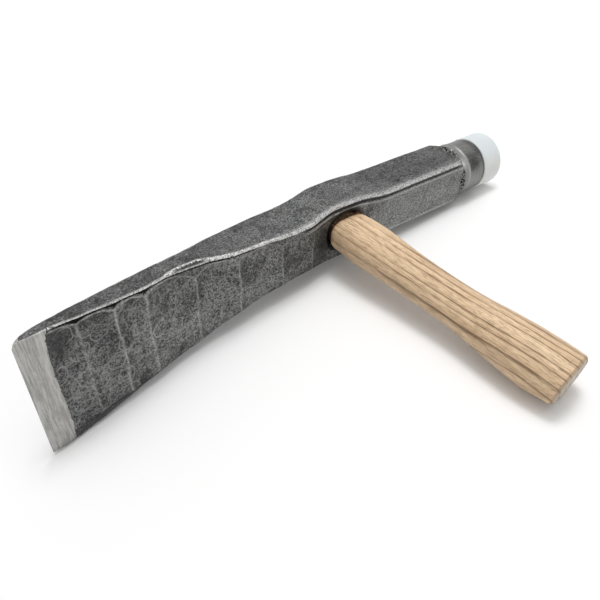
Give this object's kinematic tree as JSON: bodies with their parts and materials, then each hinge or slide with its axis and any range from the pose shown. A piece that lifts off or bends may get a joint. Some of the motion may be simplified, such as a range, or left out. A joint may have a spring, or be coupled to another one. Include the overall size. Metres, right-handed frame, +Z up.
{
  "type": "soft face stone setting hammer",
  "caption": "Forged hammer with a wide adze blade on one end and a replaceable round soft face in a turned socket on the other, on a short oval wedged handle",
  "frame": {"origin": "the middle of the flat on the lower cheek, straight under the centre of the eye", "axes": "+X runs along the head towards the soft face, the handle leaves the head towards -Y, +Z is up, square to the cheeks"},
  "size_m": [0.3436, 0.1895, 0.0709],
  "materials": {
    "forged_steel": "dark grey forge scale, mottled, with worn bright edges, a turned collar and a ground strip at the edge",
    "white_plastic": "white nylon with a soft sheen",
    "ash": "light ash with brown grain lines along its length, sanded",
    "wedge_wood": "plain hardwood, end grain showing",
    "wedge_steel": "plain steel with hammered end"
  },
  "bodies": {
    "hammer": {"hammer_head": "forged_steel", "ash_handle": "ash", "wood_wedge": "wedge_wood", "steel_wedge": "wedge_steel"},
    "face": {"soft_face": "white_plastic"}
  },
  "joints": [
    {"name": "face_slide", "type": "slide", "parent": "hammer", "child": "face", "axis": [1, 0, 0], "range_m": [0, 0.03]}
  ]
}
